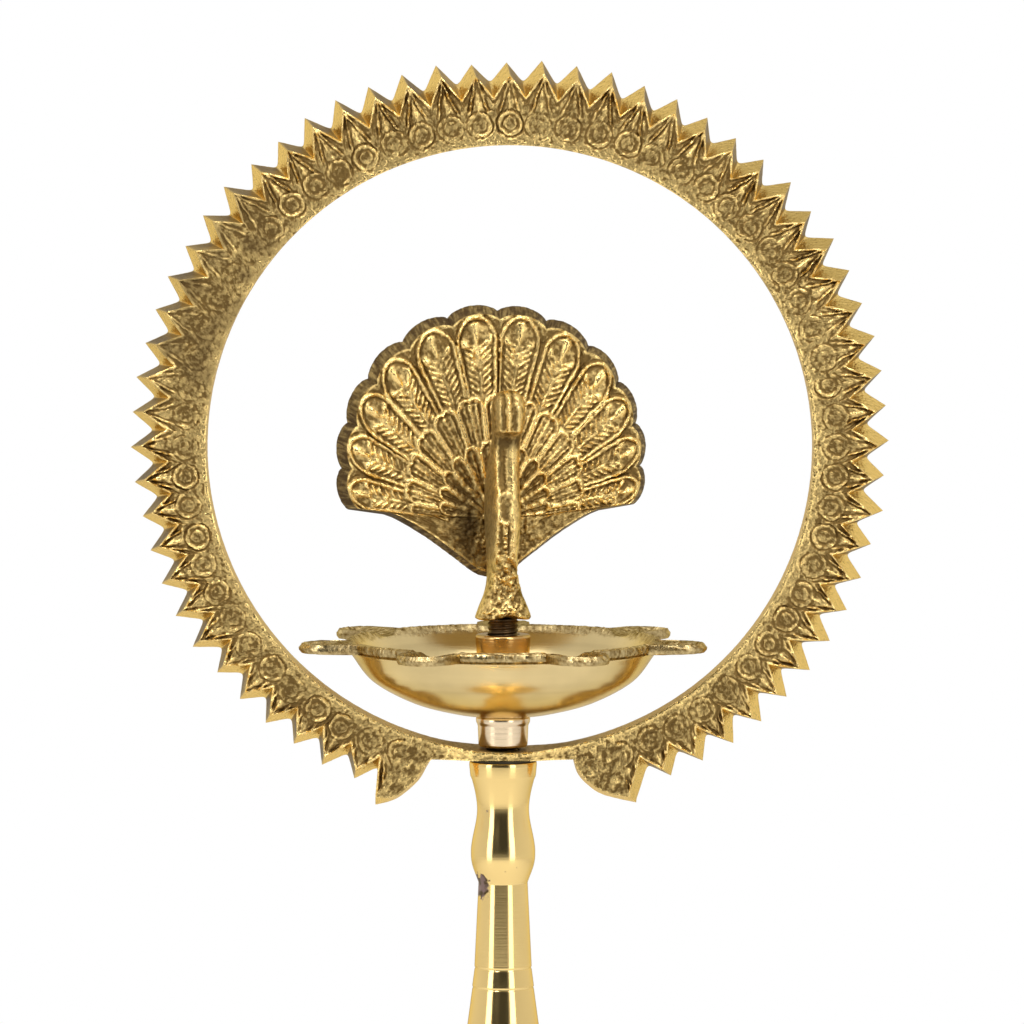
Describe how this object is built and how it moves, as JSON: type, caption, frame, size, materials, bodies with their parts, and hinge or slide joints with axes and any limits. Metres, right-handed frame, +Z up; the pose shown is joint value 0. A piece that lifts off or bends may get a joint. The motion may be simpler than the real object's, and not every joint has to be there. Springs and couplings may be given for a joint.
{
  "type": "oil lamp",
  "caption": "Standing brass oil lamp: round foot, turned stem, toothed halo ring, spouted oil pan and a peacock finial, all screwed together.",
  "frame": {"origin": "on the surface the lamp stands on, at the centre of the foot, which is on the axis of the stem", "axes": "+Z up the stem, -Y the front that the peacock and the patterned face of the ring look to, +X to the right seen from the front"},
  "size_m": [0.2028, 0.15, 0.4572],
  "materials": {
    "polished_brass": "polished",
    "cast_brass": "rough cast, tarnished in its hollows",
    "turned_brass": "turned, fine tool marks",
    "dark_iron": "dark oxide",
    "zinc_steel": "zinc plated",
    "black_rubber": "matt"
  },
  "bodies": {
    "stand": {"foot": "polished_brass", "foot_washer": "zinc_steel", "foot_nut": "zinc_steel", "foot_rod": "dark_iron", "stem_neck": "polished_brass", "lower_stem": "polished_brass", "stem_knop": "polished_brass"},
    "stem_rod": {"stem_rod": "dark_iron"},
    "upper_stem": {"upper_stem": "polished_brass", "seat_washer": "black_rubber"},
    "ring": {"halo_ring": "cast_brass"},
    "pan_rod": {"pan_rod": "dark_iron"},
    "pan": {"oil_pan": "turned_brass", "pan_collar": "turned_brass", "pan_socket": "turned_brass"},
    "finial_rod": {"finial_rod": "dark_iron"},
    "finial": {"peacock": "cast_brass", "tail_fan": "cast_brass"}
  },
  "joints": [
    {"name": "stem_rise", "type": "slide", "parent": "stand", "child": "stem_rod", "axis": [0, 0, 1], "range_m": [0, 0.01]},
    {"name": "stem_turn", "type": "hinge", "parent": "stem_rod", "child": "upper_stem", "pos_m": [0, 0, 0.1673], "axis": [0, 0, 1], "range_deg": [0, 2880]},
    {"name": "ring_swivel", "type": "hinge", "parent": "upper_stem", "child": "ring", "pos_m": [0, 0, 0.2699], "axis": [0, 0, 1], "continuous": true},
    {"name": "pan_rise", "type": "slide", "parent": "upper_stem", "child": "pan_rod", "axis": [0, 0, 1], "range_m": [0, 0.01]},
    {"name": "pan_turn", "type": "hinge", "parent": "pan_rod", "child": "pan", "pos_m": [0, 0, 0.2732], "axis": [0, 0, 1], "range_deg": [0, 2880]},
    {"name": "finial_rise", "type": "slide", "parent": "pan", "child": "finial_rod", "axis": [0, 0, 1], "range_m": [0, 0.01]},
    {"name": "finial_turn", "type": "hinge", "parent": "finial_rod", "child": "finial", "pos_m": [0, 0, 0.3078], "axis": [0, 0, 1], "range_deg": [0, 2880]}
  ],
  "couplings": [
    {"joint": "stem_rise", "follows": "stem_turn", "m_per_rad": 0.00019894},
    {"joint": "pan_rise", "follows": "pan_turn", "m_per_rad": 0.00019894},
    {"joint": "finial_rise", "follows": "finial_turn", "m_per_rad": 0.00019894}
  ]
}
